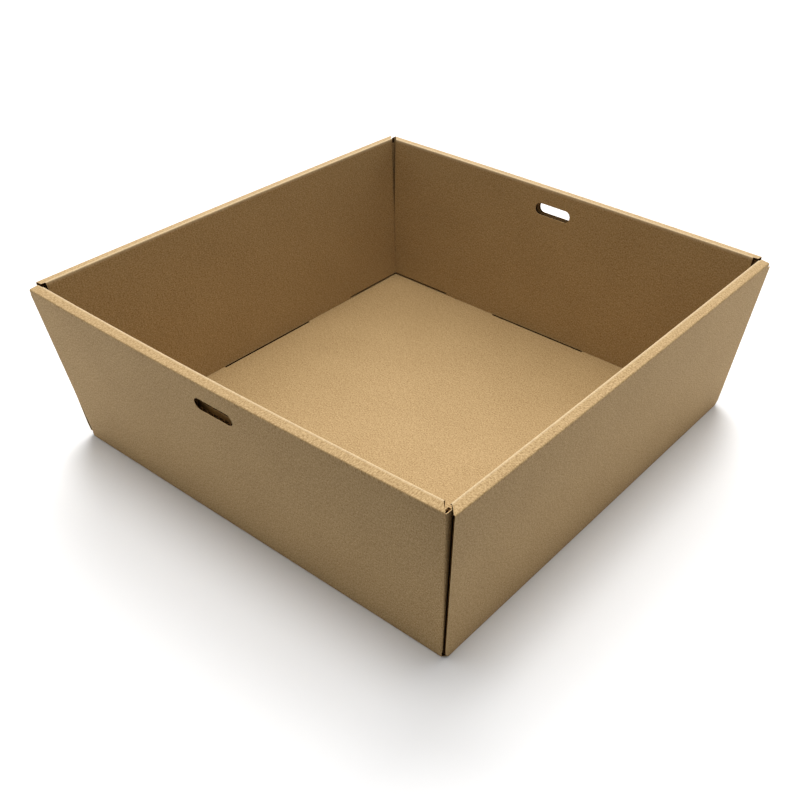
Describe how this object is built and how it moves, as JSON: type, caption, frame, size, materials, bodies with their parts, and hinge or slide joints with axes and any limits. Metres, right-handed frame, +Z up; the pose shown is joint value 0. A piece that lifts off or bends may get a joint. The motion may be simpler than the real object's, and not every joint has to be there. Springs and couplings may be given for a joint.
{
  "type": "cardboard tray box",
  "caption": "Square open tray folded from one sheet of kraft corrugated board, with leaning double walls, narrow rolled rims, trapped corner flaps, tabs locked in the base and two hand slots.",
  "frame": {"origin": "on the ground, under the middle of the base", "axes": "+Z up, the wall with the hand slot nearer the camera faces -Y, and the plain wall nearer the camera faces +X"},
  "size_m": [0.2465, 0.2483, 0.0849],
  "materials": {
    "kraft_board": "uncoated brown kraft liner, matt, with faint fibres"
  },
  "bodies": {
    "root": {"folded_tray": "kraft_board"}
  },
  "joints": []
}
